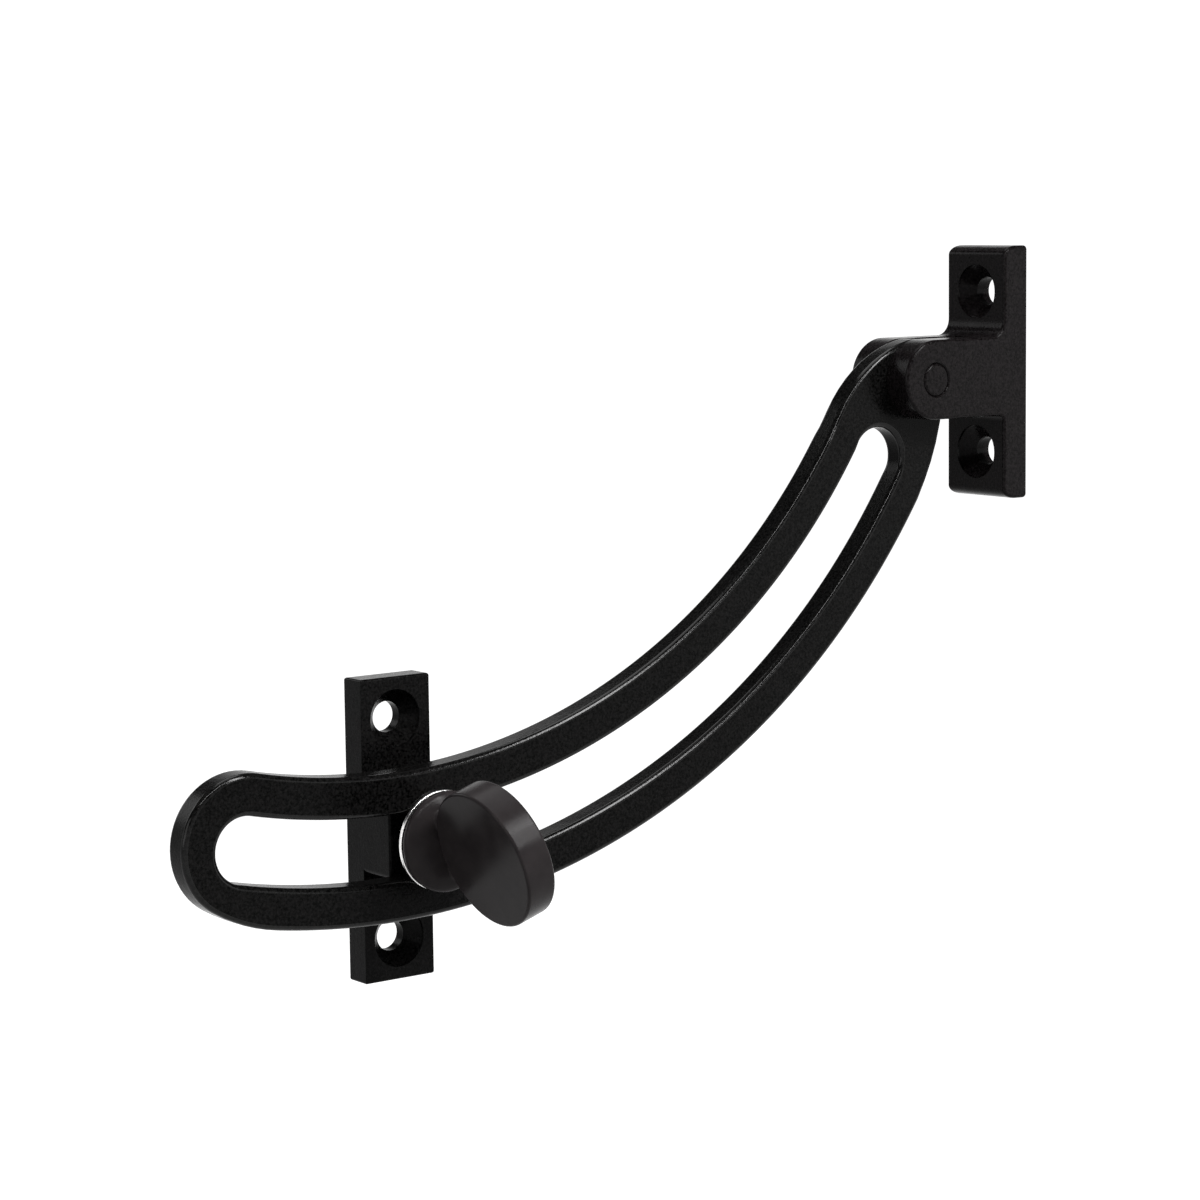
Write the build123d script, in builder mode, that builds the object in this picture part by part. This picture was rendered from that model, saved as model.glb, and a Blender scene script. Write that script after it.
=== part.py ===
from build123d import *
from math import acos, atan2, cos, degrees, radians, sin
import os

# Quadrant stay: a slotted circular arm, clamped on a keeper's stud and pivoted in a forked bracket.
# Sizes are in millimetres and angles in degrees. X runs along the stay and Z is up.
# Y points into the surface that the keeper is fixed to, so every depth is measured towards -Y.
# The origin lies in the keeper's fixing face, on the axis of the stud.

# Arm: two bars on circles about one centre, joined at a rounded tip and at the eye
slot_arc_radius = 117.05
slot_width = 10.2
bar_width = 6.45
arm_thickness = 4.5
arm_edge_round = 0.8
slot_tip_angle = -12.9
slot_eye_angle = 57.3
stud_angle = 4.07
tip_radius = 10.95
tip_blend_radius = 30.0
eye_rise = 1.12
eye_angle = 64.8
eye_radius = 6.7
eye_top_blend_radius = 24.0
eye_bottom_blend_radius = 38.0
tongue_length = 14.0
tongue_ramp_length = 2.5

# Pivot pin, riveted flush in both ears of the bracket
pin_radius = 2.8
pin_running_clearance = 0.05
pin_end_chamfer = 0.2

# Pivot bracket
bracket_width = 14.15
bracket_height = 43.1
bracket_rise = 0.5
bracket_thickness = 5.4
bracket_reach = 15.6
bracket_edge_depth = 3.0
bracket_edge_height = 1.6
bracket_top_fillet = 2.8
bracket_bottom_fillet = 1.0
bracket_back_round = 0.7
bracket_edge_round = 0.5
bracket_screw_spacing = 27.45
fork_gap = 4.2
tongue_clearance = 0.1

# Keeper plate
keeper_width = 12.8
keeper_height = 48.0
keeper_thickness = 4.5
keeper_boss_rise = 7.5
keeper_boss_corner = 1.0
keeper_edge_round = 0.4
keeper_screw_spacing = 34.8

# Countersunk screw holes, alike in both plates
screw_hole_radius = 2.45
screw_head_radius = 4.6
screw_head_sink = 0.5
screw_head_angle = 90.0

# Thumbscrew and its washer
stud_radius = 3.95
stud_clearance = 0.05
stud_end_gap = 1.0
stud_end_chamfer = 0.8
washer_radius = 7.3
washer_thickness = 0.6
washer_edge_chamfer = 0.12
collar_radius = 7.9
collar_foot_round = 0.7
collar_foot_height = 1.0
collar_dome_height = 1.9
web_width = 11.0
web_thickness = 3.8
head_radius = 11.0
head_thickness = 5.2
head_edge_round = 0.45
head_foot_depth = 2.7
head_turn = 18.0
seat_gap = 0.05

# Edges are chosen by their size and place to within this
tolerance = 0.01

# Stations, as depths in front of the fixing face
boss_front = keeper_thickness + keeper_boss_rise
arm_back = boss_front + seat_gap
arm_middle = arm_back + arm_thickness / 2
arm_front = arm_back + arm_thickness
washer_back = arm_front + seat_gap
washer_front = washer_back + washer_thickness
collar_back = washer_front + seat_gap
head_centre = collar_back + head_foot_depth + head_radius

# Radii that follow from the arm's sizes; the eye lies a little outside the slot's own circle
inner_radius = slot_arc_radius - slot_width / 2 - bar_width
outer_radius = slot_arc_radius + slot_width / 2 + bar_width
eye_arc_radius = slot_arc_radius + eye_rise
tongue_thickness = fork_gap - 2 * tongue_clearance
eye_bore_radius = pin_radius + pin_running_clearance

# The arc's centre stands above the stud, which lies at its own bearing in the slot
arc_centre = Vector(-sin(radians(stud_angle)), cos(radians(stud_angle))) * slot_arc_radius


def on_arc(radius, bearing):
    """Point at a radius and a bearing about the arc's centre, bearings turning right from straight down."""
    return arc_centre + Vector(radius * sin(radians(bearing)), -radius * cos(radians(bearing)))


def heading(bearing):
    """Direction in which the arm runs towards its eye at a bearing."""
    return Vector(cos(radians(bearing)), sin(radians(bearing)))


def bearing_of(point):
    """Bearing of a point about the arc's centre."""
    offset = point - arc_centre
    return degrees(atan2(offset.X, -offset.Y))


def blend_centre(reach, other, other_reach, side):
    """Centre of a blend, at one reach from the arc's centre and at another from a second centre."""
    span = (other - arc_centre).length
    turn = degrees(acos((reach**2 + span**2 - other_reach**2) / (2 * reach * span)))
    return on_arc(reach, bearing_of(other) + side * turn)


def far_point(centre, radius, start):
    """Point of a circle that lies furthest from a start point outside or inside it."""
    return centre + (centre - start).normalized() * radius


def arc_about(centre, start, end):
    """Arc of under half a turn from start to end about a centre."""
    radius = (start - centre).length
    middle = ((start - centre).normalized() + (end - centre).normalized()).normalized()
    return ThreePointArc(start, centre + middle * radius, end)


def circles_of(piece, radius):
    """Round edges of a piece that have a radius."""
    round_edges = piece.edges().filter_by(GeomType.CIRCLE)
    return round_edges.filter_by(lambda edge: abs(edge.radius - radius) < tolerance)


def screw_holes(places, x_turn, y_turn):
    """Countersunk holes whose heads stand a little below the face, in the open part."""
    with Locations(*[Location(place, (x_turn, y_turn, 0)) for place in places]):
        CounterSinkHole(screw_hole_radius, screw_head_radius, counter_sink_angle=screw_head_angle)


# Centres of the arm's round stretches, in its own plane
pivot = on_arc(eye_arc_radius, eye_angle)
tip_centre = on_arc(inner_radius + tip_radius, slot_tip_angle)
top_blend = blend_centre(inner_radius + eye_top_blend_radius, pivot, eye_top_blend_radius - eye_radius, -1)
bottom_reach = outer_radius - eye_bottom_blend_radius
bottom_blend = blend_centre(bottom_reach, pivot, eye_bottom_blend_radius - eye_radius, -1)
tip_blend = blend_centre(outer_radius - tip_blend_radius, tip_centre, tip_blend_radius - tip_radius, 1)

# Points where those stretches meet
tip_top = on_arc(inner_radius, slot_tip_angle)
eye_top = on_arc(inner_radius, bearing_of(top_blend))
eye_left = far_point(pivot, eye_radius, top_blend)
eye_right = far_point(pivot, eye_radius, bottom_blend)
eye_bottom = on_arc(outer_radius, bearing_of(bottom_blend))
tip_bottom = on_arc(outer_radius, bearing_of(tip_blend))
tip_left = far_point(tip_centre, tip_radius, tip_blend)

# The slot's ends are half circles, each drawn as two quarters
slot_tip_centre = on_arc(slot_arc_radius, slot_tip_angle)
slot_tip_top = on_arc(slot_arc_radius - slot_width / 2, slot_tip_angle)
slot_tip_bottom = on_arc(slot_arc_radius + slot_width / 2, slot_tip_angle)
slot_tip_end = slot_tip_centre - heading(slot_tip_angle) * (slot_width / 2)
slot_eye_centre = on_arc(slot_arc_radius, slot_eye_angle)
slot_eye_top = on_arc(slot_arc_radius - slot_width / 2, slot_eye_angle)
slot_eye_bottom = on_arc(slot_arc_radius + slot_width / 2, slot_eye_angle)
slot_eye_end = slot_eye_centre + heading(slot_eye_angle) * (slot_width / 2)

# Quadrant arm
arm_plane = Plane.XZ.offset(arm_middle)
with BuildPart() as quadrant_arm:
    with BuildSketch(arm_plane):
        with BuildLine():
            arc_about(arc_centre, tip_top, eye_top)
            arc_about(top_blend, eye_top, eye_left)
            arc_about(pivot, eye_left, eye_right)
            arc_about(bottom_blend, eye_right, eye_bottom)
            arc_about(arc_centre, eye_bottom, tip_bottom)
            arc_about(tip_blend, tip_bottom, tip_left)
            arc_about(tip_centre, tip_left, tip_top)
        make_face()
        with BuildLine():
            arc_about(arc_centre, slot_tip_top, slot_eye_top)
            arc_about(slot_eye_centre, slot_eye_top, slot_eye_end)
            arc_about(slot_eye_centre, slot_eye_end, slot_eye_bottom)
            arc_about(arc_centre, slot_eye_bottom, slot_tip_bottom)
            arc_about(slot_tip_centre, slot_tip_bottom, slot_tip_end)
            arc_about(slot_tip_centre, slot_tip_end, slot_tip_top)
        make_face(mode=Mode.SUBTRACT)
    extrude(amount=arm_thickness / 2, both=True)
    arm_faces = quadrant_arm.faces().filter_by(Axis.Y)
    fillet(arm_faces.edges(), arm_edge_round)
    # The tongue is thinned on both faces by a short ramp, square to the arm, so that it enters the fork
    tongue_heading = Vector(heading(eye_angle).X, 0, heading(eye_angle).Y)
    pivot_point = Vector(pivot.X, -arm_middle, pivot.Y)
    tongue_plane = Plane(pivot_point, tongue_heading, Vector(0, -1, 0).cross(tongue_heading))
    tongue_reach = eye_radius + arm_thickness
    for side in (-1, 1):
        with BuildSketch(tongue_plane):
            with BuildLine():
                Polyline(
                    (-tongue_length - tongue_ramp_length, side * arm_thickness / 2),
                    (-tongue_length, side * tongue_thickness / 2),
                    (tongue_reach, side * tongue_thickness / 2),
                    (tongue_reach, side * arm_thickness),
                    (-tongue_length - tongue_ramp_length, side * arm_thickness),
                    close=True,
                )
            make_face()
        extrude(amount=outer_radius - inner_radius, both=True, mode=Mode.SUBTRACT)
    with BuildSketch(arm_plane):
        with Locations(pivot):
            Circle(eye_bore_radius)
    extrude(amount=arm_thickness, both=True, mode=Mode.SUBTRACT)

# Pivot bracket: one casting of plate and forked ears
plate_front = pivot.X + bracket_reach
plate_back = plate_front + bracket_thickness
plate_middle = pivot.Y + bracket_rise
plate_top = plate_middle + bracket_height / 2
plate_bottom = plate_middle - bracket_height / 2
with BuildPart() as pivot_bracket:
    with BuildSketch(arm_plane):
        with BuildLine():
            front_corner_x = plate_front + bracket_edge_depth
            top_corner_z = plate_top - bracket_edge_height
            bottom_corner_z = plate_bottom + bracket_edge_height
            EllipticalCenterArc(
                (front_corner_x, top_corner_z), bracket_edge_depth, bracket_edge_height, 90, arc_size=90
            )
            Line((plate_front, top_corner_z), (plate_front, bottom_corner_z))
            EllipticalCenterArc(
                (front_corner_x, bottom_corner_z), bracket_edge_depth, bracket_edge_height, 180, arc_size=90
            )
            Polyline(
                (front_corner_x, plate_bottom),
                (plate_back, plate_bottom),
                (plate_back, plate_top),
                (front_corner_x, plate_top),
            )
        make_face()
    extrude(amount=bracket_width / 2, both=True)
    with BuildSketch(arm_plane):
        with Locations(pivot):
            Circle(eye_radius)
            Rectangle(bracket_reach, 2 * eye_radius, align=(Align.MIN, Align.CENTER))
    extrude(amount=bracket_width / 2, both=True)
    cross_edges = pivot_bracket.edges().filter_by(Axis.Y)
    back_edges = cross_edges.filter_by_position(Axis.X, plate_back - tolerance, plate_back + tolerance)
    front_edges = cross_edges.filter_by_position(Axis.X, plate_front - tolerance, plate_front + tolerance)
    root_edges = front_edges.filter_by_position(
        Axis.Z, pivot.Y - eye_radius - tolerance, pivot.Y + eye_radius + tolerance
    ).sort_by(Axis.Z)
    fillet(root_edges[0], bracket_bottom_fillet)
    fillet(root_edges[-1], bracket_top_fillet)
    fillet(back_edges, bracket_back_round)
    side_faces = pivot_bracket.faces().filter_by(Axis.Y)
    fillet(side_faces.edges(), bracket_edge_round)
    with BuildSketch(arm_plane):
        with Locations((plate_front, pivot.Y)):
            Rectangle(
                bracket_reach + 2 * eye_radius,
                bracket_height,
                align=(Align.MAX, Align.CENTER),
            )
    extrude(amount=fork_gap / 2, both=True, mode=Mode.SUBTRACT)
    with BuildSketch(arm_plane):
        with Locations(pivot):
            Circle(pin_radius)
    extrude(amount=bracket_width, both=True, mode=Mode.SUBTRACT)
    bore_mouths = circles_of(pivot_bracket, pin_radius).sort_by(Axis.Y)
    chamfer([bore_mouths[0], bore_mouths[-1]], pin_end_chamfer)
    bracket_holes = [
        (plate_front + screw_head_sink, -arm_middle, plate_middle + side * bracket_screw_spacing / 2)
        for side in (-1, 1)
    ]
    screw_holes(bracket_holes, 0, -90)

# Pivot pin
with BuildPart() as pivot_pin:
    with BuildSketch(arm_plane):
        with Locations(pivot):
            Circle(pin_radius)
    extrude(amount=bracket_width / 2, both=True)
    chamfer(pivot_pin.edges().filter_by(GeomType.CIRCLE), pin_end_chamfer)

# Keeper plate: a flat bar with a square boss, its sides flush with the bar's, and a bore for the stud
with BuildPart() as keeper_plate:
    with BuildSketch(Plane.XZ):
        Rectangle(keeper_width, keeper_height)
    extrude(amount=keeper_thickness)
    with BuildSketch(Plane.XZ):
        RectangleRounded(keeper_width, keeper_width, keeper_boss_corner)
    extrude(amount=boss_front)
    front_face = keeper_plate.faces().sort_by(Axis.Y)[0]
    plate_ends = keeper_plate.faces().filter_by(Axis.Z).sort_by(Axis.Z)
    rounded_faces = (front_face, plate_ends[0], plate_ends[-1])
    fillet([edge for face in rounded_faces for edge in face.edges()], keeper_edge_round)
    with BuildSketch(Plane.XZ):
        Circle(stud_radius + stud_clearance)
    extrude(amount=boss_front, mode=Mode.SUBTRACT)
    keeper_holes = [
        (0, screw_head_sink - keeper_thickness, side * keeper_screw_spacing / 2) for side in (-1, 1)
    ]
    screw_holes(keeper_holes, 90, 0)

# Clamp washer between the arm and the thumbscrew's collar
with BuildPart() as clamp_washer:
    with BuildSketch(Plane.XZ.offset(washer_back)):
        Circle(washer_radius)
        Circle(stud_radius + stud_clearance, mode=Mode.SUBTRACT)
    extrude(amount=washer_thickness)
    chamfer(circles_of(clamp_washer, washer_radius), washer_edge_chamfer)

# Thumbscrew: stud and low domed collar turned in one with a flat round head that stands on edge
collar_rim = collar_back + collar_foot_height
with BuildPart() as thumbscrew:
    with BuildSketch(Plane.XY):
        with BuildLine():
            Polyline(
                (0, -collar_rim - collar_dome_height),
                (0, -stud_end_gap),
                (stud_radius - stud_end_chamfer, -stud_end_gap),
                (stud_radius, -stud_end_gap - stud_end_chamfer),
                (stud_radius, -collar_back),
                (collar_radius - collar_foot_round, -collar_back),
            )
            foot_centre = (collar_radius - collar_foot_round, -collar_rim)
            EllipticalCenterArc(foot_centre, collar_foot_round, collar_foot_height, 0, arc_size=90)
            EllipticalCenterArc((0, -collar_rim), collar_radius, collar_dome_height, 270, arc_size=90)
        make_face()
    revolve(axis=Axis.Y)
    head_normal = Vector(cos(radians(head_turn)), 0, sin(radians(head_turn)))
    head_plane = Plane(origin=(0, -head_centre, 0), x_dir=(0, -1, 0), z_dir=head_normal)
    with BuildSketch(head_plane):
        Circle(head_radius)
    extrude(amount=head_thickness / 2, both=True)
    fillet(circles_of(thumbscrew, head_radius), head_edge_round)
    # A web thinner than the head fills the wedge between the head's rim and the collar
    with BuildSketch(head_plane):
        Rectangle(head_centre - collar_rim, web_width, align=(Align.MAX, Align.CENTER))
    extrude(amount=web_thickness / 2, both=True)

# Files
os.makedirs("parts", exist_ok=True)
for name, piece in (
    ("quadrant_arm", quadrant_arm),
    ("pivot_bracket", pivot_bracket),
    ("pivot_pin", pivot_pin),
    ("keeper_plate", keeper_plate),
    ("clamp_washer", clamp_washer),
    ("thumbscrew", thumbscrew),
):
    piece.part.label = name
    export_step(piece.part, f"parts/{name}.step")
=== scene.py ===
"""Looks of a quadrant stay: black satin castings, a turned thumbscrew and a bare washer, on white.

Every piece is in metres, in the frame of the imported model: X runs along the stay, Y points into
the wall and Z is up. Each piece that is modelled again is a class whose sizes are in millimetres,
each finish is a small class, and one studio holds the camera, the white surfaces and the lamps.
"""

import logging
import math
from dataclasses import dataclass
from enum import Enum

import bpy
from mathutils import Matrix, Vector


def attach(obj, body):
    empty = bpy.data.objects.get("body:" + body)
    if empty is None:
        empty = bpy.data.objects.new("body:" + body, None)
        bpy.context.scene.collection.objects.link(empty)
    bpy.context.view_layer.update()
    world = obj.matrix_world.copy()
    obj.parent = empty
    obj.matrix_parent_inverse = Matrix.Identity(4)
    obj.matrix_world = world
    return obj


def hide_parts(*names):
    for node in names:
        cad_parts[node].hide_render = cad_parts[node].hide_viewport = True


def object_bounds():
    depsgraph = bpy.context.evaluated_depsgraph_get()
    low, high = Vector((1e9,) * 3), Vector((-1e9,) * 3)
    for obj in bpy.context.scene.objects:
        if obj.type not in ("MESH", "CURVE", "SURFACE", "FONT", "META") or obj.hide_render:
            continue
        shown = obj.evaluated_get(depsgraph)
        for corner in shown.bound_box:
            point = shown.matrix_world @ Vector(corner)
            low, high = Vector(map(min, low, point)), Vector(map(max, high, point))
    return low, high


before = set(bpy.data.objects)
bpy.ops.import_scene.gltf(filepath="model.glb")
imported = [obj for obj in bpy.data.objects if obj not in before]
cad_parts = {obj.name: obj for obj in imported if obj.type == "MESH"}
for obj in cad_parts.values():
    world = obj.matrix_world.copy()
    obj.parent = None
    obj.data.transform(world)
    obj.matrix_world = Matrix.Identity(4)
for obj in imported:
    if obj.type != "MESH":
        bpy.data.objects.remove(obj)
cad_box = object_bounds()

LOG = logging.getLogger("quadrant_stay")
MILLIMETRE = 0.001
# Points closer together than this, in metres, become one.
MERGE_WITHIN = 0.000002
# Edges that turn by more than this are sharp.
SHARP = math.radians(60)
# Edges that turn by more than this many degrees stay creased in smooth shading.
CREASE = 40
# Turn that lays an upright cylinder along Y.
ALONG_Y = (math.pi / 2, 0, 0)
# Ranges of a noise's factor over which a finish changes from one look to the other.
NARROW_BAND = (0.35, 0.65)
WIDE_BAND = (0.3, 0.7)


def quarter(steps: int, first: int = 0) -> list[tuple[float, float]]:
    """Lists cosine and sine at even steps along a quarter turn.

    Args:
        steps: Number of steps in the quarter.
        first: The first step to list.

    Returns:
        The pairs, up to the last step.
    """
    turns = [math.pi / 2 * step / steps for step in range(first, steps + 1)]
    return [(math.cos(turn), math.sin(turn)) for turn in turns]


class Slot(Enum):
    """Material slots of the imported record."""

    CAST_BLACK = "cast_black"
    TURNED_BLACK = "turned_black"
    BARE_STEEL = "bare_steel"


class NodeKit:
    """Adds and links the shader nodes of one material, so that a finish reads as a few steps."""

    def __init__(self, name: str) -> None:
        """Starts an empty material.

        Args:
            name: The material's name.
        """
        self.material = bpy.data.materials.new(name)
        self.material.use_nodes = True
        self.tree = self.material.node_tree
        self.shader = self.tree.nodes["Principled BSDF"]
        self.place = self.tree.nodes.new("ShaderNodeTexCoord").outputs["Object"]

    def add(self, kind: str, **settings: object) -> bpy.types.Node:
        """Adds a node and sets its properties.

        Args:
            kind: The node's type in Blender.
            **settings: Properties of the node by name.

        Returns:
            The new node.
        """
        node = self.tree.nodes.new(kind)
        for key, value in settings.items():
            setattr(node, key, value)
        return node

    def link(self, source: bpy.types.NodeSocket, target: bpy.types.NodeSocket) -> None:
        """Links an output to an input."""
        self.tree.links.new(source, target)

    def noise(self, scale: float, detail: float, roughness: float) -> bpy.types.NodeSocket:
        """Noise over the piece's own coordinates.

        Args:
            scale: Cells for each metre.
            detail: Octaves.
            roughness: Share that each finer octave keeps.

        Returns:
            The noise's factor.
        """
        node = self.add("ShaderNodeTexNoise")
        node.inputs["Scale"].default_value = scale
        node.inputs["Detail"].default_value = detail
        node.inputs["Roughness"].default_value = roughness
        self.link(self.place, node.inputs["Vector"])
        return node.outputs["Fac"]

    def spread(self, source: bpy.types.NodeSocket, from_low: float, from_high: float,
               to_low: float, to_high: float) -> bpy.types.NodeSocket:
        """Maps one range of a value to another, and stops at its ends.

        Args:
            source: The value.
            from_low: Value that gives the low result.
            from_high: Value that gives the high result.
            to_low: Low result.
            to_high: High result.

        Returns:
            The mapped value.
        """
        node = self.add("ShaderNodeMapRange")
        node.inputs["From Min"].default_value = from_low
        node.inputs["From Max"].default_value = from_high
        node.inputs["To Min"].default_value = to_low
        node.inputs["To Max"].default_value = to_high
        self.link(source, node.inputs["Value"])
        return node.outputs["Result"]

    def blend(self, share: bpy.types.NodeSocket, first: tuple[float, float, float],
              second: tuple[float, float, float]) -> bpy.types.NodeSocket:
        """Blends two colours by a share.

        Args:
            share: 0 for the first colour and 1 for the second.
            first: First colour.
            second: Second colour.

        Returns:
            The blended colour.
        """
        node = self.add("ShaderNodeMix", data_type="RGBA")
        node.inputs["A"].default_value = (*first, 1)
        node.inputs["B"].default_value = (*second, 1)
        self.link(share, node.inputs["Factor"])
        return node.outputs["Result"]

    def bump(self, height: bpy.types.NodeSocket, depth: float, strength: float,
             below: bpy.types.NodeSocket | None = None) -> bpy.types.NodeSocket:
        """Raises the surface by a height in the shading.

        Args:
            height: Height from 0 to 1.
            depth: Depth of a full step, in metres.
            strength: Strength of the effect.
            below: Normal of a coarser bump under this one.

        Returns:
            The new normal.
        """
        node = self.add("ShaderNodeBump")
        node.inputs["Distance"].default_value = depth
        node.inputs["Strength"].default_value = strength
        self.link(height, node.inputs["Height"])
        if below is not None:
            self.link(below, node.inputs["Normal"])
        return node.outputs["Normal"]

    def set(self, **values: object) -> None:
        """Sets the shader's own sockets, with spaces written as underscores."""
        for key, value in values.items():
            self.shader.inputs[key.replace("_", " ")].default_value = value


@dataclass(frozen=True)
class CastBlack:
    """Satin black coat over a finely textured casting.

    Three reliefs lie on each other: a slow swell, a mottle that also shifts colour and roughness,
    and a fine grain. Scales are in cells for each metre and depths in metres.
    """

    name: str = "cast_black"
    dark: tuple[float, float, float] = (0.0002, 0.0002, 0.0002)
    light: tuple[float, float, float] = (0.0055, 0.0053, 0.0052)
    mottle_scale: float = 2400.0
    grain_scale: float = 6000.0
    swell_scale: float = 170.0
    swell_depth: float = 0.0002
    swell_strength: float = 0.4
    mottle_depth: float = 0.00006
    mottle_strength: float = 0.55
    grain_depth: float = 0.000012
    grain_strength: float = 0.5
    smooth: float = 0.12
    rough: float = 0.24
    gloss: float = 0.03
    relief: float = 1.0

    def material(self) -> bpy.types.Material:
        """Builds the finish."""
        kit = NodeKit(self.name)
        kit.set(Specular_IOR_Level=self.gloss)
        mottle = kit.noise(self.mottle_scale, detail=3, roughness=0.6)
        grain = kit.noise(self.grain_scale, detail=2, roughness=0.5)
        swell = kit.noise(self.swell_scale, detail=2, roughness=0.4)
        kit.link(kit.blend(kit.spread(mottle, *NARROW_BAND, 0, 1), self.dark, self.light),
                 kit.shader.inputs["Base Color"])
        kit.link(kit.spread(mottle, *WIDE_BAND, self.smooth, self.rough),
                 kit.shader.inputs["Roughness"])
        coarse = kit.bump(swell, self.swell_depth, self.swell_strength * self.relief)
        middle = kit.bump(mottle, self.mottle_depth, self.mottle_strength * self.relief, coarse)
        fine = kit.bump(grain, self.grain_depth, self.grain_strength * self.relief, middle)
        kit.link(fine, kit.shader.inputs["Normal"])
        return kit.material


@dataclass(frozen=True)
class TurnedBlack:
    """Smooth satin black coat over turned metal.

    Scales are in cells for each metre and depths in metres.
    """

    dark: tuple[float, float, float] = (0.0145, 0.0125, 0.013)
    light: tuple[float, float, float] = (0.0185, 0.016, 0.0165)
    cloud_scale: float = 260.0
    speck_scale: float = 2600.0
    speck_depth: float = 0.00001
    speck_strength: float = 0.4
    smooth: float = 0.21
    rough: float = 0.27
    gloss: float = 0.038

    def material(self) -> bpy.types.Material:
        """Builds the finish."""
        kit = NodeKit("turned_black")
        kit.set(Specular_IOR_Level=self.gloss)
        cloud = kit.noise(self.cloud_scale, detail=3, roughness=0.5)
        speck = kit.noise(self.speck_scale, detail=2, roughness=0.5)
        kit.link(kit.blend(kit.spread(cloud, *NARROW_BAND, 0, 1), self.dark, self.light),
                 kit.shader.inputs["Base Color"])
        kit.link(kit.spread(cloud, *WIDE_BAND, self.smooth, self.rough),
                 kit.shader.inputs["Roughness"])
        kit.link(kit.bump(speck, self.speck_depth, self.speck_strength),
                 kit.shader.inputs["Normal"])
        return kit.material


@dataclass(frozen=True)
class BareSteel:
    """Bare washer steel, bright where it was stamped."""

    bright: tuple[float, float, float] = (0.88, 0.87, 0.86)
    dull: tuple[float, float, float] = (0.7, 0.695, 0.69)
    cloud_scale: float = 1500.0
    smooth: float = 0.22
    rough: float = 0.38

    def material(self) -> bpy.types.Material:
        """Builds the finish."""
        kit = NodeKit("bare_steel")
        kit.set(Metallic=1.0)
        cloud = kit.noise(self.cloud_scale, detail=3, roughness=0.6)
        kit.link(kit.blend(kit.spread(cloud, *WIDE_BAND, 0, 1), self.dull, self.bright),
                 kit.shader.inputs["Base Color"])
        kit.link(kit.spread(cloud, *WIDE_BAND, self.smooth, self.rough),
                 kit.shader.inputs["Roughness"])
        return kit.material


@dataclass
class DressedNode:
    """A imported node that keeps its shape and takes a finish."""

    node: str
    material: bpy.types.Material
    slot: Slot

    def dress(self) -> None:
        """Gives the node its finish."""
        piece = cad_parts[self.node]
        piece.data.materials.clear()
        piece.data.materials.append(self.material)
        LOG.info("dressed %s", self.node)


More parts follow.
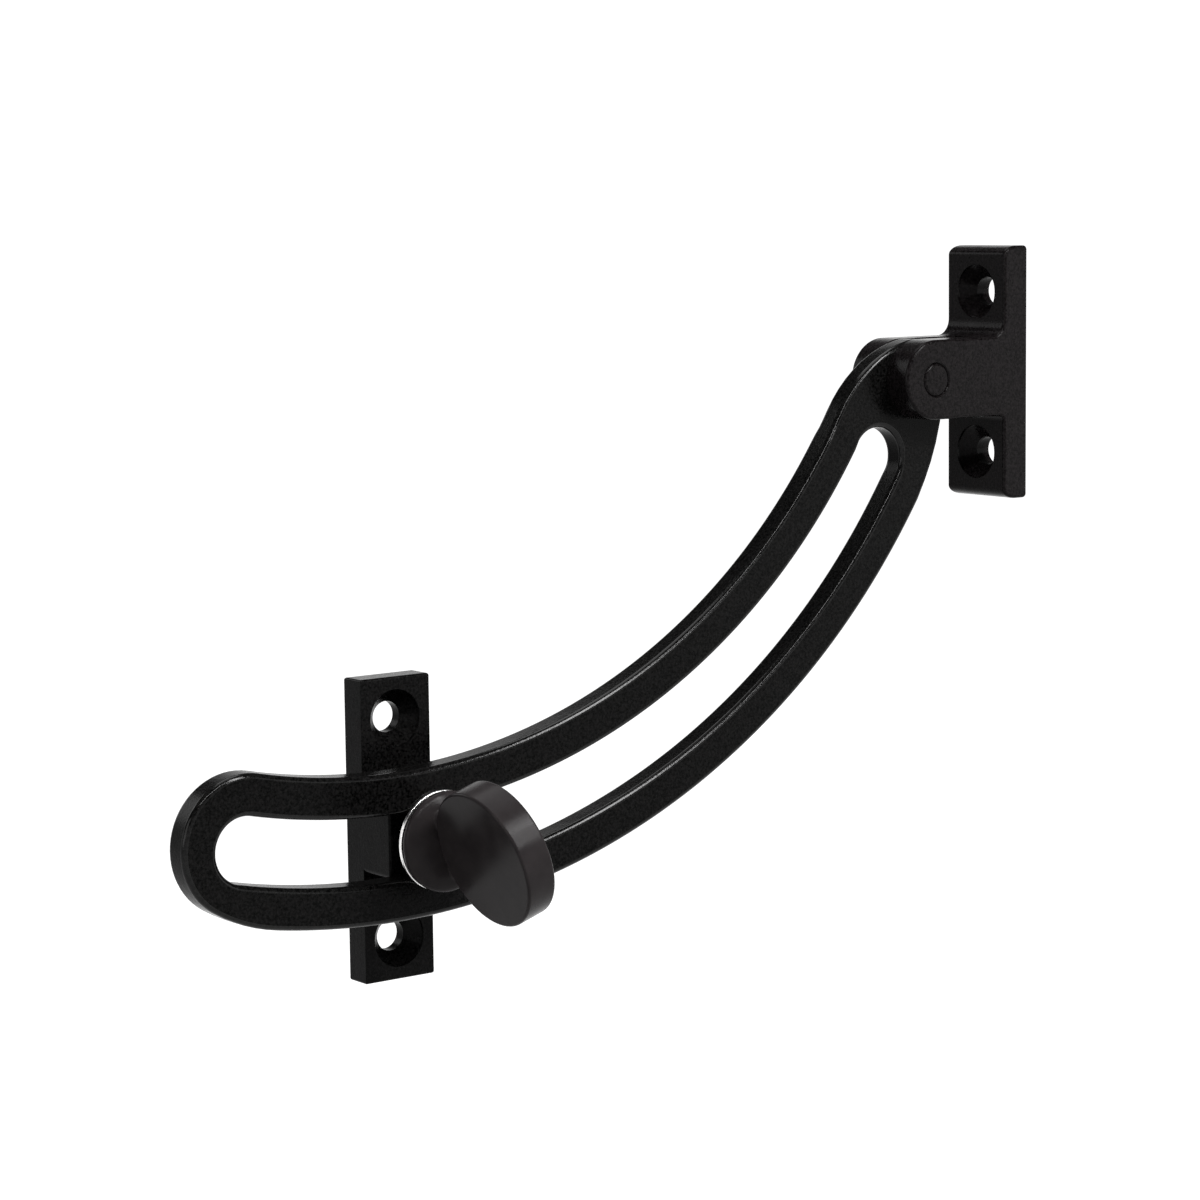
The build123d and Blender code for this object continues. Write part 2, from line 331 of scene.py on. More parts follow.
class Bench:
    """Steps of mesh work that every modelled piece shares."""

    @staticmethod
    def clear() -> None:
        """Leaves edit mode and selects nothing."""
        if bpy.context.object is not None and bpy.context.object.mode != "OBJECT":
            bpy.ops.object.mode_set(mode="OBJECT")
        bpy.ops.object.select_all(action="DESELECT")

    @staticmethod
    def pick(*pieces: bpy.types.Object) -> None:
        """Selects only these pieces, the first of them active.

        Args:
            *pieces: The pieces.
        """
        Bench.clear()
        for piece in pieces:
            piece.select_set(True)
        bpy.context.view_layer.objects.active = pieces[0]

    @staticmethod
    def loop(points: list[Vector], name: str) -> bpy.types.Object:
        """Makes a closed loop of edges from a circle whose points are moved into place.

        Args:
            points: Places of the loop's points, in metres.
            name: The piece's name.

        Returns:
            The loop.
        """
        Bench.clear()
        bpy.ops.mesh.primitive_circle_add(vertices=len(points), radius=1)
        piece = bpy.context.object
        piece.name = name
        for vertex, point in zip(piece.data.vertices, points):
            vertex.co = point
        return piece

    @staticmethod
    def rod(radius: float, length: float, middle: Vector, turn: tuple[float, float, float],
            sides: int) -> bpy.types.Object:
        """Makes a cylinder.

        Args:
            radius: Its radius in millimetres.
            length: Its length in millimetres.
            middle: Its middle, in metres.
            turn: Its turn from upright, in radians.
            sides: Number of its sides.

        Returns:
            The cylinder.
        """
        Bench.clear()
        bpy.ops.mesh.primitive_cylinder_add(vertices=sides, radius=radius * MILLIMETRE,
                                            depth=length * MILLIMETRE, location=middle,
                                            rotation=turn)
        return bpy.context.object

    @staticmethod
    def modify(piece: bpy.types.Object, kind: str, **settings: object) -> None:
        """Adds a modifier, sets it and applies it.

        Args:
            piece: The piece.
            kind: The modifier's type in Blender.
            **settings: Properties of the modifier by name.
        """
        Bench.pick(piece)
        modifier = piece.modifiers.new(kind.lower(), kind)
        for key, value in settings.items():
            setattr(modifier, key, value)
        bpy.ops.object.modifier_apply(modifier=modifier.name)

    @staticmethod
    def cut(piece: bpy.types.Object, tool: bpy.types.Object) -> None:
        """Takes a tool's shape out of a piece, and removes the tool.

        Args:
            piece: The piece.
            tool: The closed shape to take out.
        """
        Bench.modify(piece, "BOOLEAN", object=tool, operation="DIFFERENCE", solver="EXACT")
        bpy.data.objects.remove(tool)

    @staticmethod
    def round_edges(piece: bpy.types.Object, width: float, segments: int) -> None:
        """Rounds a piece's sharp edges.

        Args:
            piece: The piece.
            width: Width of the rounding, in millimetres.
            segments: Number of faces across it.
        """
        Bench.modify(piece, "BEVEL", width=width * MILLIMETRE, segments=segments,
                     limit_method="ANGLE", angle_limit=SHARP)

    @staticmethod
    def join(pieces: list[bpy.types.Object], name: str) -> bpy.types.Object:
        """Joins pieces into one.

        Args:
            pieces: The pieces, the first of which takes in the rest.
            name: The joined piece's name.

        Returns:
            The joined piece.
        """
        Bench.pick(*pieces)
        bpy.ops.object.join()
        whole = bpy.context.object
        whole.name = name
        return whole

    @staticmethod
    def place(piece: bpy.types.Object) -> None:
        """Puts a piece's place, turn and size into its mesh."""
        Bench.pick(piece)
        bpy.ops.object.transform_apply(location=True, rotation=True, scale=True)

    @staticmethod
    def outward(piece: bpy.types.Object) -> None:
        """Merges doubled points and turns every face outwards."""
        Bench.pick(piece)
        bpy.ops.object.mode_set(mode="EDIT")
        bpy.ops.mesh.select_all(action="SELECT")
        bpy.ops.mesh.remove_doubles(threshold=MERGE_WITHIN)
        bpy.ops.mesh.normals_make_consistent(inside=False)
        bpy.ops.object.mode_set(mode="OBJECT")

    @staticmethod
    def smooth(piece: bpy.types.Object) -> None:
        """Shades a piece smooth but for its creases, and keeps its large faces flat."""
        Bench.pick(piece)
        bpy.ops.object.shade_smooth_by_angle(angle=math.radians(CREASE))
        Bench.modify(piece, "WEIGHTED_NORMAL", keep_sharp=True, weight=100)

    @staticmethod
    def finish(piece: bpy.types.Object, material: bpy.types.Material, slot: Slot, body: str,
               node: str | None = None) -> None:
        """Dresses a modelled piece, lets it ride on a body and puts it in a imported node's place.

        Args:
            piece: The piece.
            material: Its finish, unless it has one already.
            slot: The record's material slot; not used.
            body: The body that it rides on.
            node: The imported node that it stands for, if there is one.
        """
        if not piece.data.materials:
            piece.data.materials.append(material)
        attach(piece, body)
        if node is not None:
            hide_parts(node)
        LOG.info("modelled %s with %d faces", piece.name, len(piece.data.polygons))


@dataclass
class SlottedArm:
    """The cast arm: two bars on circles about one centre, joined at a round tip and at the eye.

    Sizes are in millimetres and angles in degrees. Bearings are measured about the arc's centre and
    turn right from straight down.
    """

    material: bpy.types.Material
    rubbed: bpy.types.Material
    slot_radius: float = 117.05
    slot_width: float = 10.2
    bar_width: float = 6.45
    thickness: float = 4.5
    edge_round: float = 0.8
    tip_bearing: float = -12.9
    slot_end_bearing: float = 57.3
    stud_bearing: float = 4.07
    tip_radius: float = 10.95
    tip_blend: float = 30.0
    eye_rise: float = 1.12
    eye_bearing: float = 64.8
    eye_radius: float = 6.7
    eye_top_blend: float = 24.0
    eye_bottom_blend: float = 38.0
    tongue_length: float = 14.0
    tongue_ramp: float = 2.5
    tongue_thickness: float = 4.0
    bore_radius: float = 2.85
    bore_margin: float = 0.05
    bore_sides: int = 64
    cutter_length: float = 20.0
    depth: float = 14.3
    steps_long: int = 84
    steps_slot_end: int = 36
    steps_tip: int = 36
    edge_segments: int = 6

    def centre(self) -> Vector:
        """Centre of the arcs."""
        turn = math.radians(self.stud_bearing)
        return Vector((-math.sin(turn), math.cos(turn))) * self.slot_radius

    def on_arc(self, radius: float, bearing: float) -> Vector:
        """Point at a radius and a bearing about the arc's centre."""
        turn = math.radians(bearing)
        return self.centre() + Vector((math.sin(turn), -math.cos(turn))) * radius

    def bearing_of(self, point: Vector) -> float:
        """Bearing of a point about the arc's centre."""
        offset = point - self.centre()
        return math.degrees(math.atan2(offset.x, -offset.y))

    def blend_centre(self, reach: float, other: Vector, other_reach: float, side: int) -> Vector:
        """Centre of a blend between the long arcs and a round end.

        Args:
            reach: Its distance from the arcs' centre.
            other: Centre of the round end.
            other_reach: Its distance from that centre.
            side: 1 to the right of the round end and -1 to the left.

        Returns:
            The centre.
        """
        span = (other - self.centre()).length
        share = (reach**2 + span**2 - other_reach**2) / (2 * reach * span)
        turn = math.degrees(math.acos(share))
        return self.on_arc(reach, self.bearing_of(other) + side * turn)

    @staticmethod
    def far_point(centre: Vector, radius: float, start: Vector) -> Vector:
        """Point of a circle on the line from a start point through its centre."""
        return centre + (centre - start).normalized() * radius

    @staticmethod
    def arc(centre: Vector, start: Vector, end: Vector, steps: int) -> list[Vector]:
        """Points along an arc of under half a turn, without its last one.

        Args:
            centre: The arc's centre.
            start: Its first point.
            end: Its last point.
            steps: Number of points.

        Returns:
            The points.
        """
        first = start - centre
        last = end - centre
        sweep = math.atan2(first.x * last.y - first.y * last.x, first.dot(last))
        points = []
        for step in range(steps):
            turn = sweep * step / steps
            points.append(centre + Vector((
                first.x * math.cos(turn) - first.y * math.sin(turn),
                first.x * math.sin(turn) + first.y * math.cos(turn))))
        return points

    def eye_centre(self) -> Vector:
        """Centre of the eye, a little outside the middle of the slot's arc."""
        return self.on_arc(self.slot_radius + self.eye_rise, self.eye_bearing)

    def outline(self) -> list[Vector]:
        """Points round the outside, from the tip along the hollow side to the eye and back."""
        inner = self.slot_radius - self.slot_width / 2 - self.bar_width
        outer = self.slot_radius + self.slot_width / 2 + self.bar_width
        pivot = self.eye_centre()
        tip = self.on_arc(inner + self.tip_radius, self.tip_bearing)
        top = self.blend_centre(inner + self.eye_top_blend, pivot,
                                self.eye_top_blend - self.eye_radius, side=-1)
        bottom = self.blend_centre(outer - self.eye_bottom_blend, pivot,
                                   self.eye_bottom_blend - self.eye_radius, side=-1)
        under = self.blend_centre(outer - self.tip_blend, tip,
                                  self.tip_blend - self.tip_radius, side=1)
        tip_top = self.on_arc(inner, self.tip_bearing)
        eye_top = self.on_arc(inner, self.bearing_of(top))
        eye_left = self.far_point(pivot, self.eye_radius, top)
        eye_right = self.far_point(pivot, self.eye_radius, bottom)
        eye_bottom = self.on_arc(outer, self.bearing_of(bottom))
        tip_bottom = self.on_arc(outer, self.bearing_of(under))
        tip_left = self.far_point(tip, self.tip_radius, under)
        centre = self.centre()
        top_steps = self.steps_slot_end // 4
        bottom_steps = self.steps_slot_end // 6
        under_steps = self.steps_tip // 6
        return (
            self.arc(centre, tip_top, eye_top, self.steps_long)
            + self.arc(top, eye_top, eye_left, top_steps)
            + self.arc(pivot, eye_left, eye_right, self.steps_slot_end - top_steps - bottom_steps)
            + self.arc(bottom, eye_right, eye_bottom, bottom_steps)
            + self.arc(centre, eye_bottom, tip_bottom, self.steps_long)
            + self.arc(under, tip_bottom, tip_left, under_steps)
            + self.arc(tip, tip_left, tip_top, self.steps_tip - under_steps)
        )

    def slot(self) -> list[Vector]:
        """Points round the slot, matched one by one to those of the outline."""
        near = self.slot_radius - self.slot_width / 2
        far = self.slot_radius + self.slot_width / 2
        tip_near = self.on_arc(near, self.tip_bearing)
        end_near = self.on_arc(near, self.slot_end_bearing)
        end_far = self.on_arc(far, self.slot_end_bearing)
        tip_far = self.on_arc(far, self.tip_bearing)
        tip = self.on_arc(self.slot_radius, self.tip_bearing)
        end = self.on_arc(self.slot_radius, self.slot_end_bearing)
        tip_turn = math.radians(self.tip_bearing)
        end_turn = math.radians(self.slot_end_bearing)
        tip_left = tip - Vector((math.cos(tip_turn), math.sin(tip_turn))) * self.slot_width / 2
        end_right = end + Vector((math.cos(end_turn), math.sin(end_turn))) * self.slot_width / 2
        centre = self.centre()
        return (
            self.arc(centre, tip_near, end_near, self.steps_long)
            + self.arc(end, end_near, end_right, self.steps_slot_end // 2)
            + self.arc(end, end_right, end_far, self.steps_slot_end // 2)
            + self.arc(centre, end_far, tip_far, self.steps_long)
            + self.arc(tip, tip_far, tip_left, self.steps_tip // 2)
            + self.arc(tip, tip_left, tip_near, self.steps_tip // 2)
        )

    def stand(self, points: list[Vector]) -> list[Vector]:
        """Stands flat points up in the arm's middle plane, in metres."""
        return [Vector((point.x, -self.depth, point.y)) * MILLIMETRE for point in points]

    def thin_tongue(self, piece: bpy.types.Object, pivot: Vector, heading: Vector) -> None:
        """Thins the end that enters the fork, down a short ramp.

        Args:
            piece: The arm.
            pivot: The eye's centre, in metres.
            heading: Direction in which the arm runs into the eye.
        """
        ramp_start = -(self.tongue_length + self.tongue_ramp) * MILLIMETRE
        ramp_end = -self.tongue_length * MILLIMETRE
        loss = (self.thickness - self.tongue_thickness) / 2 * MILLIMETRE
        for vertex in piece.data.vertices:
            along = (vertex.co - pivot).dot(heading)
            share = min(max((along - ramp_start) / (ramp_end - ramp_start), 0), 1)
            eased = share * share * (3 - 2 * share)
            side = 1 if vertex.co.y > pivot.y else -1
            vertex.co.y -= side * eased * loss

    def mark_edges(self, piece: bpy.types.Object, pivot: Vector) -> None:
        """Marks the edges that are rounded, and keeps the bore's rim sharp.

        Args:
            piece: The arm.
            pivot: The eye's centre, in metres.
        """
        Bench.pick(piece)
        bpy.ops.object.mode_set(mode="EDIT")
        bpy.ops.mesh.select_mode(type="EDGE")
        bpy.ops.mesh.select_all(action="DESELECT")
        bpy.ops.mesh.edges_select_sharp(sharpness=SHARP)
        bpy.ops.object.mode_set(mode="OBJECT")
        weights = piece.data.attributes.new("bevel_weight_edge", "FLOAT", "EDGE")
        rim = (self.bore_radius + self.bore_margin) * MILLIMETRE
        for edge in piece.data.edges:
            ends = [piece.data.vertices[corner].co for corner in edge.vertices]
            middle = sum(ends, Vector()) / 2 - pivot
            if edge.select and Vector((middle.x, middle.z)).length < rim:
                edge.use_edge_sharp = True
            elif edge.select:
                weights.data[edge.index].value = 1

    def build(self) -> None:
        """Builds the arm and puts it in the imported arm's place."""
        outside = Bench.loop(self.stand(self.outline()), "arm_outline")
        inside = Bench.loop(self.stand(self.slot()), "arm_slot")
        piece = Bench.join([outside, inside], "arm_casting")
        pivot = self.stand([self.eye_centre()])[0]
        turn = math.radians(self.eye_bearing)
        heading = Vector((math.cos(turn), 0, math.sin(turn)))
        bpy.ops.object.mode_set(mode="EDIT")
        bpy.ops.mesh.select_all(action="SELECT")
        bpy.ops.mesh.bridge_edge_loops()
        bpy.ops.object.mode_set(mode="OBJECT")
        Bench.modify(piece, "SOLIDIFY", thickness=self.thickness * MILLIMETRE, offset=0)
        self.thin_tongue(piece, pivot, heading)
        Bench.outward(piece)
        Bench.cut(piece, Bench.rod(self.bore_radius, self.cutter_length, pivot, ALONG_Y,
                                   self.bore_sides))
        Bench.outward(piece)
        self.mark_edges(piece, pivot)
        bpy.ops.object.shade_smooth()
        piece.data.materials.append(self.material)
        piece.data.materials.append(self.rubbed)
        Bench.modify(piece, "BEVEL", width=self.edge_round * MILLIMETRE,
                     segments=self.edge_segments, limit_method="WEIGHT", use_clamp_overlap=False,
                     harden_normals=True, material=1)
        Bench.place(piece)
        Bench.finish(piece, self.material, Slot.CAST_BLACK, "arm", "quadrant_arm")


@dataclass
class TurnedScrew:
    """The thumbscrew: threaded stud, low domed collar and a flat round head that stands on edge.

    Sizes are in millimetres and angles in degrees. Depths are measured from the wall towards -Y.
    A flank is a share of the pitch, and the web's reach into the head a share of its radius.
    """

    material: bpy.types.Material
    stud_radius: float = 3.95
    core_radius: float = 3.35
    core_chamfer: float = 0.8
    core_overlap: float = 1.0
    pitch: float = 1.25
    thread_root: float = 0.15
    thread_flank: float = 0.42
    thread_crest: float = 0.09
    thread_start: float = 1.4
    thread_margin: float = 1.6
    thread_steps: int = 48
    stud_end: float = 1.0
    collar_back: float = 17.25
    collar_radius: float = 7.9
    foot_round: float = 0.7
    foot_height: float = 1.0
    foot_steps: int = 8
    dome_height: float = 1.9
    dome_steps: int = 20
    web_width: float = 11.0
    web_thickness: float = 3.8
    web_start: float = 1.2
    web_reach: float = 0.6
    web_edge: float = 0.9
    head_radius: float = 11.0
    head_thickness: float = 5.2
    head_edge: float = 0.45
    head_sides: int = 160
    foot_depth: float = 2.7
    turn: float = 18.0
    spin_steps: int = 96
    fine: float = 0.2
    smoothing: int = 10

    @staticmethod
    def lay(profile: list[tuple[float, float]]) -> list[Vector]:
        """Lays points of a radius and a depth beside the stud's axis, in metres."""
        return [Vector((radius, -depth, 0)) * MILLIMETRE for radius, depth in profile]

    def revolve(self, profile: list[tuple[float, float]], name: str) -> bpy.types.Object:
        """Spins a profile about the stud's axis into a closed solid.

        Args:
            profile: Radius and depth of each point, the first and last on the axis.
            name: The piece's name.

        Returns:
            The solid.
        """
        piece = Bench.loop(self.lay(profile), name)
        bpy.ops.object.mode_set(mode="EDIT")
        bpy.ops.mesh.select_all(action="SELECT")
        bpy.ops.mesh.spin(steps=self.spin_steps, angle=math.tau, center=(0, 0, 0), axis=(0, 1, 0))
        bpy.ops.mesh.select_all(action="SELECT")
        bpy.ops.mesh.remove_doubles(threshold=MERGE_WITHIN)
        bpy.ops.mesh.dissolve_degenerate(threshold=MERGE_WITHIN)
        bpy.ops.mesh.select_all(action="SELECT")
        bpy.ops.mesh.delete_loose(use_verts=True, use_edges=True, use_faces=False)
        bpy.ops.object.mode_set(mode="OBJECT")
        Bench.place(piece)
        Bench.outward(piece)
        return piece

    def stud(self) -> bpy.types.Object:
        """Core of the stud, with a chamfered end."""
        top = self.collar_back + self.core_overlap
        return self.revolve([
            (0, self.stud_end),
            (self.core_radius - self.core_chamfer, self.stud_end),
            (self.core_radius, self.stud_end + self.core_chamfer),
            (self.core_radius, top),
            (0, top),
        ], "stud_core")

    def thread(self) -> bpy.types.Object:
        """One ridge that winds round the stud's core."""
        low = self.core_radius - self.thread_root
        start = self.stud_end + self.thread_start
        half = self.pitch * self.thread_flank
        ridge = [(low, start - half), (self.stud_radius, start - self.thread_crest),
                 (self.stud_radius, start + self.thread_crest), (low, start + half)]
        piece = Bench.loop(self.lay(ridge), "stud_thread")
        turns = int((self.collar_back - self.stud_end - self.thread_margin) / self.pitch)
        Bench.place(piece)
        Bench.modify(piece, "SCREW", axis="Y", angle=math.tau,
                     screw_offset=-self.pitch * MILLIMETRE, iterations=turns,
                     steps=self.thread_steps, render_steps=self.thread_steps,
                     use_merge_vertices=False)
        bpy.ops.object.mode_set(mode="EDIT")
        bpy.ops.mesh.select_all(action="DESELECT")
        bpy.ops.mesh.select_non_manifold()
        bpy.ops.mesh.edge_face_add()
        bpy.ops.object.mode_set(mode="OBJECT")
        Bench.outward(piece)
        return piece

    def neck(self) -> bpy.types.Object:
        """Collar, dome and web in one, with soft inner corners."""
        rim = self.collar_back + self.foot_height
        profile = [(0, self.collar_back), (self.collar_radius - self.foot_round, self.collar_back)]
        for cosine, sine in quarter(self.foot_steps, 1):
            profile.append((self.collar_radius - self.foot_round * (1 - sine),
                            rim - self.foot_height * cosine))
        for cosine, sine in quarter(self.dome_steps, 1):
            profile.append((self.collar_radius * cosine, rim + self.dome_height * sine))
        dome = self.revolve(profile, "neck")
        reach = self.foot_depth + self.head_radius * self.web_reach
        middle = self.collar_back + self.web_start + reach / 2
        Bench.clear()
        bpy.ops.mesh.primitive_cube_add(size=1, location=(0, -middle * MILLIMETRE, 0))
        web = bpy.context.object
        web.scale = Vector((self.web_thickness, reach, self.web_width)) * MILLIMETRE
        Bench.place(web)
        Bench.round_edges(web, self.web_edge, segments=4)
        web.rotation_euler = (0, -math.radians(self.turn), 0)
        Bench.place(web)
        piece = Bench.join([dome, web], "neck")
        Bench.modify(piece, "REMESH", mode="VOXEL", voxel_size=self.fine * MILLIMETRE)
        Bench.modify(piece, "SMOOTH", factor=0.5, iterations=self.smoothing)
        return piece

    def head(self) -> bpy.types.Object:
        """The flat round head, its edges slightly rounded."""
        middle = self.collar_back + self.foot_depth + self.head_radius
        turn = (0, math.pi / 2 - math.radians(self.turn), 0)
        piece = Bench.rod(self.head_radius, self.head_thickness, Vector((0, 0, 0)), turn,
                          self.head_sides)
        Bench.place(piece)
        Bench.round_edges(piece, self.head_edge, segments=5)
        piece.location = (0, -middle * MILLIMETRE, 0)
        Bench.place(piece)
        return piece

    def build(self) -> None:
        """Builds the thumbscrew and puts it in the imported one's place."""
        parts = [self.head(), self.neck(), self.stud(), self.thread()]
        for part in parts:
            Bench.smooth(part)
        piece = Bench.join(parts, "thumbscrew_turned")
        Bench.finish(piece, self.material, Slot.TURNED_BLACK, "screw", "thumbscrew")


@dataclass
class ClampWasher:
    """The plain washer between the arm and the collar, which shows as a bright ring round it.

    Sizes are in millimetres. Depths are measured from the wall towards -Y.
    """

    material: bpy.types.Material
    radius: float = 7.8
    bore_radius: float = 4.0
    thickness: float = 0.6
    back: float = 16.6
    edge_round: float = 0.12
    sides: int = 128
    bore_sides: int = 96

    def build(self) -> None:
        """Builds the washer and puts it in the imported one's place."""
        middle = Vector((0, -(self.back + self.thickness / 2), 0)) * MILLIMETRE
        piece = Bench.rod(self.radius, self.thickness, middle, ALONG_Y, self.sides)
        piece.name = "washer_ring"
        bore_length = 4 * self.thickness
        Bench.cut(piece, Bench.rod(self.bore_radius, bore_length, middle, ALONG_Y,
                                   self.bore_sides))
        Bench.round_edges(piece, self.edge_round, segments=3)
        Bench.place(piece)
        Bench.outward(piece)
        Bench.smooth(piece)
        Bench.finish(piece, self.material, Slot.BARE_STEEL, "washer", "clamp_washer")


@dataclass
class RivetPin:
    """The pivot pin, whose rounded ends leave a fine groove round them in the ears.

    Sizes are in millimetres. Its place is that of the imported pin's middle.
    """

    material: bpy.types.Material
    place: tuple[float, float, float] = (98.6156, -14.3, 66.4405)
    radius: float = 2.8
    length: float = 14.15
    end_round: float = 0.55
    sides: int = 96

    def build(self) -> None:
        """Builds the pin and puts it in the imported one's place."""
        middle = Vector(self.place) * MILLIMETRE
        piece = Bench.rod(self.radius, self.length, middle, ALONG_Y, self.sides)
        piece.name = "pin_riveted"
        Bench.round_edges(piece, self.end_round, segments=5)
        Bench.place(piece)
        Bench.outward(piece)
        Bench.smooth(piece)
        Bench.finish(piece, self.material, Slot.TURNED_BLACK, "bracket", "pivot_pin")


@dataclass
class ForkWeb:
    """The casting's web at the root of the fork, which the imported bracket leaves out.

    Sizes are in millimetres. It fills the fork's gap as far as the plate's fillets reach.
    """

    material: bpy.types.Material
    front: float = 111.4
    plate: float = 114.3
    pivot_height: float = 66.4405
    ear_half: float = 6.7
    top_fillet: float = 2.8
    bottom_fillet: float = 1.0
    depth: float = 14.3
    width: float = 4.2
    steps: int = 12
    crease: float = 30.0

    def profile(self) -> list[tuple[float, float]]:
        """Corner points of the web's side, round from its lower front corner."""
        low = self.pivot_height - self.ear_half
        high = self.pivot_height + self.ear_half
        face = self.front + self.top_fillet
        points = [(self.front, low)]
        for cosine, sine in quarter(self.steps):
            points.append((face - self.bottom_fillet * (1 - sine),
                           low - self.bottom_fillet * (1 - cosine)))
        points += [(self.plate, low - self.bottom_fillet), (self.plate, high + self.top_fillet)]
        for cosine, sine in quarter(self.steps):
            points.append((face - self.top_fillet * (1 - cosine),
                           high + self.top_fillet * (1 - sine)))
        return points

    def build(self) -> None:
        """Builds the web and lets it ride with the bracket."""
        side = -(self.depth - self.width / 2)
        points = [Vector((across, side, height)) * MILLIMETRE for across, height in self.profile()]
        piece = Bench.loop(points, "fork_web")
        bpy.ops.object.mode_set(mode="EDIT")
        bpy.ops.mesh.select_all(action="SELECT")
        bpy.ops.mesh.edge_face_add()
        bpy.ops.mesh.extrude_region_move(
            TRANSFORM_OT_translate={"value": (0, -self.width * MILLIMETRE, 0)})
        bpy.ops.object.mode_set(mode="OBJECT")
        Bench.place(piece)
        Bench.outward(piece)
        Bench.pick(piece)
        bpy.ops.object.shade_smooth_by_angle(angle=math.radians(self.crease))
        Bench.finish(piece, self.material, Slot.CAST_BLACK, "bracket")


@dataclass
class Studio:
    """Camera at the photograph's view, white surroundings, and plain soft lamps.

    Sizes and places are in metres, but the sensor's width is in millimetres.
    """

    eye: tuple[float, float, float] = (-0.28512, -0.43583, 0.09824)
    forward: tuple[float, float, float] = (0.59774, 0.79258, -0.12052)
    up: tuple[float, float, float] = (0.08207, 0.08904, 0.99264)
    focal_pixels: float = 3355.36
    picture_pixels: float = 1200.0
    sensor: float = 36.0
    nearest: float = 0.01
    farthest: float = 50.0
    floor_drop: float = 0.16
    floor_radius: float = 1.1
    ground_drop: float = 0.002
    ground_radius: float = 5.0
    disc_sides: int = 128
    ring_inset: float = 0.1
    ring_drop: float = 0.01
    wall_height: float = 1.6
    wall_width: float = 6.0
    wall_distance: float = 2.6
    paint: float = 0.4
    paint_roughness: float = 0.9
    floor_glow: float = 0.9
    full_glow: float = 1.0
    sky: float = 0.12
    aim: tuple[float, float, float] = (0.04, 0.0, 0.04)

    def camera(self) -> None:
        """Places the camera and makes it the scene's own."""
        data = bpy.data.cameras.new("photo_view")
        data.sensor_width = self.sensor
        data.lens = self.focal_pixels / self.picture_pixels * self.sensor
        data.clip_start = self.nearest
        data.clip_end = self.farthest
        camera = bpy.data.objects.new("photo_view", data)
        bpy.context.scene.collection.objects.link(camera)
        back = -Vector(self.forward).normalized()
        right = Vector(self.up).cross(back).normalized()
        up = back.cross(right)
        turn = Matrix((right, up, back)).transposed().to_4x4()
        camera.matrix_world = Matrix.Translation(Vector(self.eye)) @ turn
        bpy.context.scene.camera = camera

    def white(self, name: str, glow: float) -> bpy.types.Material:
        """Matt white that the camera, gloss and glass see as pure white, and that keeps shadows.

        Args:
            name: The material's name.
            glow: What it adds to the light that falls on it, where it is seen.

        Returns:
            The material.
        """
        kit = NodeKit(name)
        kit.set(Base_Color=(self.paint, self.paint, self.paint, 1), Roughness=self.paint_roughness,
                Specular_IOR_Level=0.0, Emission_Color=(1, 1, 1, 1))
        path = kit.add("ShaderNodeLightPath")
        seen = kit.add("ShaderNodeMath", operation="MAXIMUM")
        clear = kit.add("ShaderNodeMath", operation="MAXIMUM")
        level = kit.add("ShaderNodeMath", operation="MULTIPLY")
        level.inputs[1].default_value = glow
        kit.link(path.outputs["Is Camera Ray"], seen.inputs[0])
        kit.link(path.outputs["Is Glossy Ray"], seen.inputs[1])
        kit.link(seen.outputs[0], clear.inputs[0])
        kit.link(path.outputs["Is Transmission Ray"], clear.inputs[1])
        kit.link(clear.outputs[0], level.inputs[0])
        kit.link(level.outputs[0], kit.shader.inputs["Emission Strength"])
        return kit.material

    def surface(self, piece: bpy.types.Object, name: str, glow: float) -> None:
        """Names a surface, paints it white and makes it part of the stage.

        Args:
            piece: The surface.
            name: Its name.
            glow: What its white adds to the light that falls on it.
        """
        piece.name = name
        piece.data.materials.append(self.white(f"{name}_white", glow))

    def disc(self, name: str, radius: float, level: float, glow: float) -> None:
        """Makes a round white surface about the origin.

        Args:
            name: Its name.
            radius: Its radius.
            level: Its height.
            glow: What its white adds to the light that falls on it.
        """
        Bench.clear()
        bpy.ops.mesh.primitive_circle_add(vertices=self.disc_sides, radius=radius,
                                          fill_type="NGON", location=(0, 0, level))
        self.surface(bpy.context.object, name, glow)

    def surroundings(self) -> None:
        """Makes the floor, the ground round it, and the walls that close every view."""
        level = cad_box[0].z - self.floor_drop
        middle = level + self.wall_height / 2
        self.disc("studio_floor", self.floor_radius, level, self.floor_glow)
        self.disc("studio_ground", self.ground_radius, level - self.ground_drop, self.full_glow)
        Bench.clear()
        bpy.ops.mesh.primitive_cylinder_add(
            vertices=self.disc_sides, radius=self.ground_radius - self.ring_inset,
            depth=self.wall_height, end_fill_type="NOTHING",
            location=(0, 0, middle - self.ring_drop))
        self.surface(bpy.context.object, "studio_round_wall", self.full_glow)
        Bench.clear()
        bpy.ops.mesh.primitive_plane_add(size=1)
        wall = bpy.context.object
        away = Vector((self.forward[0], self.forward[1], 0)).normalized()
        wall.scale = (self.wall_width, self.wall_height, 1)
        wall.rotation_euler = (math.pi / 2, 0, math.atan2(-away.x, away.y))
        wall.location = away * self.wall_distance + Vector((0, 0, middle))
        self.surface(wall, "studio_wall", self.full_glow)

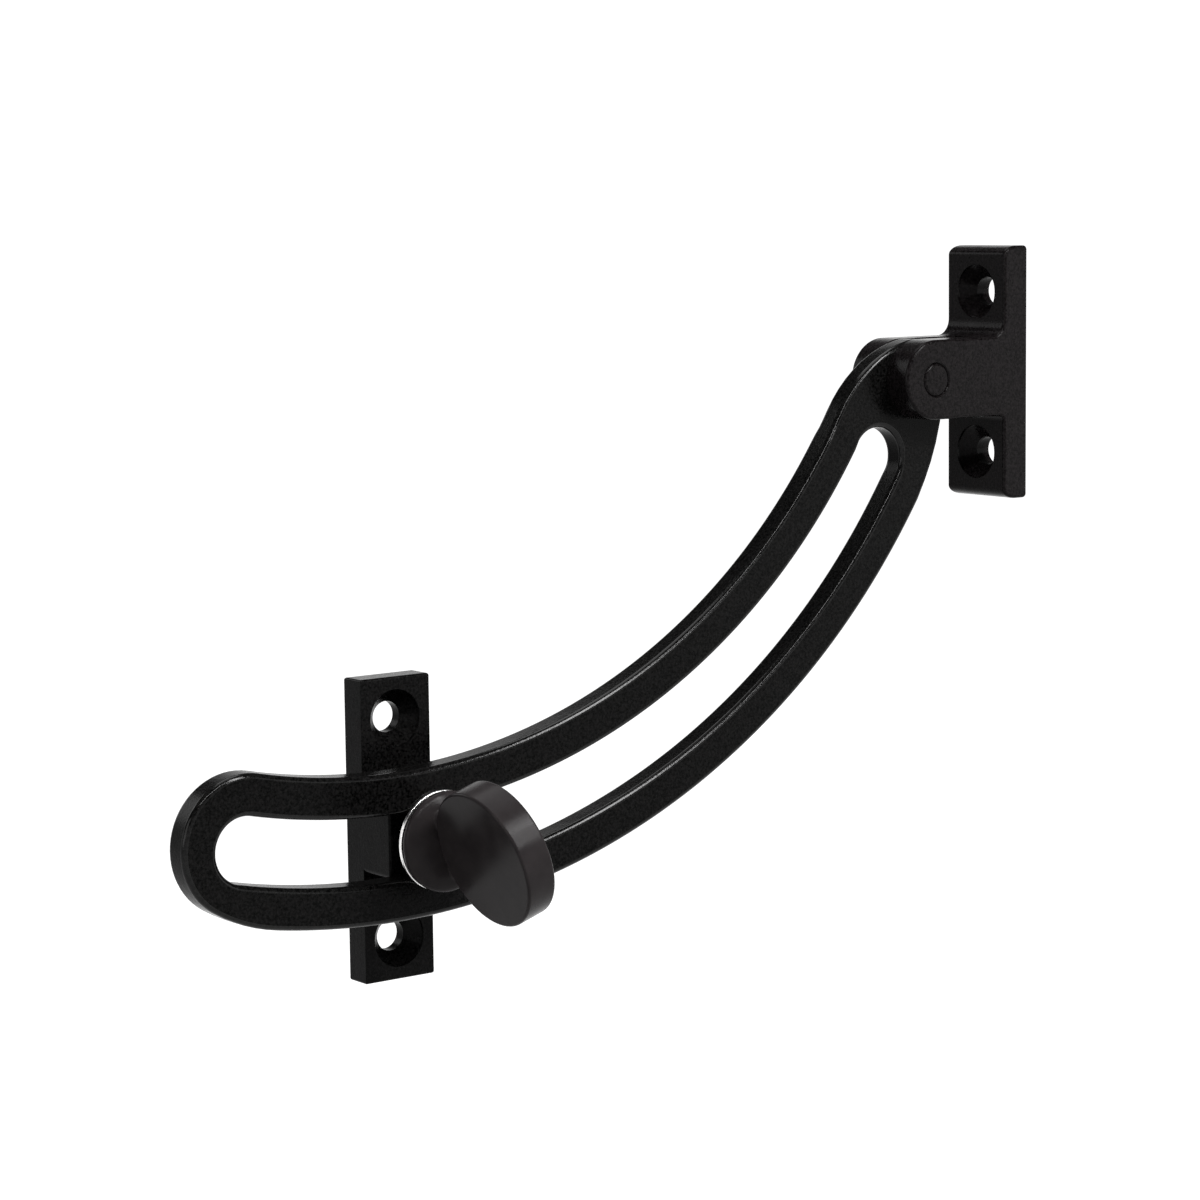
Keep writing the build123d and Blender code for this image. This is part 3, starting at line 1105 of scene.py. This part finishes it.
    def lamp(self, name: str, place: tuple[float, float, float], size: tuple[float, float],
             power: float) -> None:
        """Adds a soft rectangular lamp that points at the stay.

        Args:
            name: The lamp's name.
            place: Its middle.
            size: Its width and height.
            power: Its power in watts.
        """
        data = bpy.data.lights.new(name, "AREA")
        data.shape = "RECTANGLE"
        data.size, data.size_y = size
        data.energy = power
        lamp = bpy.data.objects.new(name, data)
        bpy.context.scene.collection.objects.link(lamp)
        lamp.location = place
        lamp.rotation_mode = "QUATERNION"
        lamp.rotation_quaternion = (Vector(self.aim) - Vector(place)).to_track_quat("-Z", "Y")
        lamp.visible_camera = False

    def light(self) -> None:
        """Sets the world and the lamps."""
        world = bpy.data.worlds.new("studio_world")
        world.use_nodes = True
        background = world.node_tree.nodes["Background"]
        background.inputs["Color"].default_value = (1, 1, 1, 1)
        background.inputs["Strength"].default_value = self.sky
        bpy.context.scene.world = world
        self.lamp("key_strip", (0.0, -0.76, 0.78), (1.0, 0.05), 8)
        self.lamp("front_box", (0.34, -0.72, 0.62), (0.14, 0.65), 11)
        self.lamp("left_panel", (-1.1, -0.25, 0.35), (0.7, 0.7), 4.5)
        self.lamp("back_left_panel", (-0.45, 0.95, 0.52), (0.6, 0.45), 2.8)
        self.lamp("top_panel", (0.12, 0.25, 1.0), (0.5, 0.9), 5)
        self.lamp("front_right_panel", (1.0, -0.95, 0.1), (0.6, 0.6), 1.6)

    def build(self) -> None:
        """Builds the studio."""
        bpy.context.scene.view_settings.view_transform = "Standard"
        self.camera()
        self.surroundings()
        self.light()
        LOG.info("built the studio")


def main() -> None:
    """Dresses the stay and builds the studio."""
    logging.basicConfig(level=logging.INFO, format="%(message)s")
    bpy.ops.object.select_all(action="DESELECT")
    cast = CastBlack().material()
    warm = CastBlack("cast_black_warm", dark=(0.0014, 0.001, 0.0011),
                     light=(0.0085, 0.0073, 0.0076), gloss=0.037).material()
    turned = TurnedBlack().material()
    steel = BareSteel().material()
    rubbed = CastBlack("cast_black_rubbed", smooth=0.1, rough=0.16, gloss=0.12,
                       relief=0.45).material()
    SlottedArm(cast, rubbed).build()
    TurnedScrew(turned).build()
    ClampWasher(steel).build()
    RivetPin(warm).build()
    ForkWeb(warm).build()
    DressedNode("pivot_bracket", warm, Slot.CAST_BLACK).dress()
    DressedNode("keeper_plate", cast, Slot.CAST_BLACK).dress()
    Studio().build()


if __name__ == "__main__":
    main()
